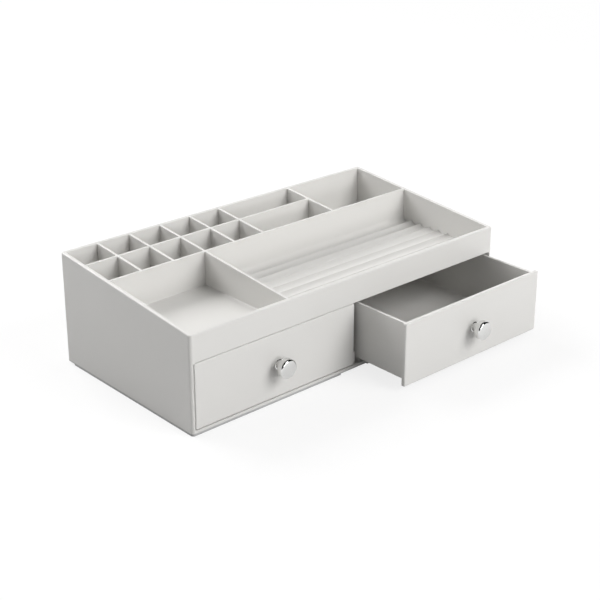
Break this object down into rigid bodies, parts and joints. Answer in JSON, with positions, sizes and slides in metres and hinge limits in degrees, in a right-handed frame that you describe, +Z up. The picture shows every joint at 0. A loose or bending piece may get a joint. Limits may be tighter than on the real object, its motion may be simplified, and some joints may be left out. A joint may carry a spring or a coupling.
{
  "type": "makeup organizer with drawers",
  "caption": "Low desktop organizer in pale grey plastic: a divided tray with a sloping rim and a ribbed pen rest over two side-by-side pull-out drawers with round metal knobs.",
  "frame": {"origin": "on the table, under the middle of the case's width and depth", "axes": "+X along the front towards the right drawer, +Y from the front to the rear, +Z up"},
  "size_m": [0.33, 0.2353, 0.0969],
  "materials": {
    "case_plastic": "smooth moulded gloss",
    "drawer_plastic": "smooth moulded gloss",
    "knob_chrome": "polished",
    "fastener_steel": "zinc plated"
  },
  "bodies": {
    "case": {"case_body": "case_plastic", "base_plate": "case_plastic"},
    "left_drawer": {"drawer_left": "drawer_plastic", "knob_left": "knob_chrome", "knob_screw_left": "fastener_steel", "knob_washer_left": "fastener_steel"},
    "right_drawer": {"drawer_right": "drawer_plastic", "knob_right": "knob_chrome", "knob_screw_right": "fastener_steel", "knob_washer_right": "fastener_steel"}
  },
  "joints": [
    {"name": "left_drawer_slide", "type": "slide", "parent": "case", "child": "left_drawer", "axis": [0, -1, 0], "range_m": [0, 0.12]},
    {"name": "right_drawer_slide", "type": "slide", "parent": "case", "child": "right_drawer", "axis": [0, -1, 0], "range_m": [-0.0548, 0.0652]}
  ]
}
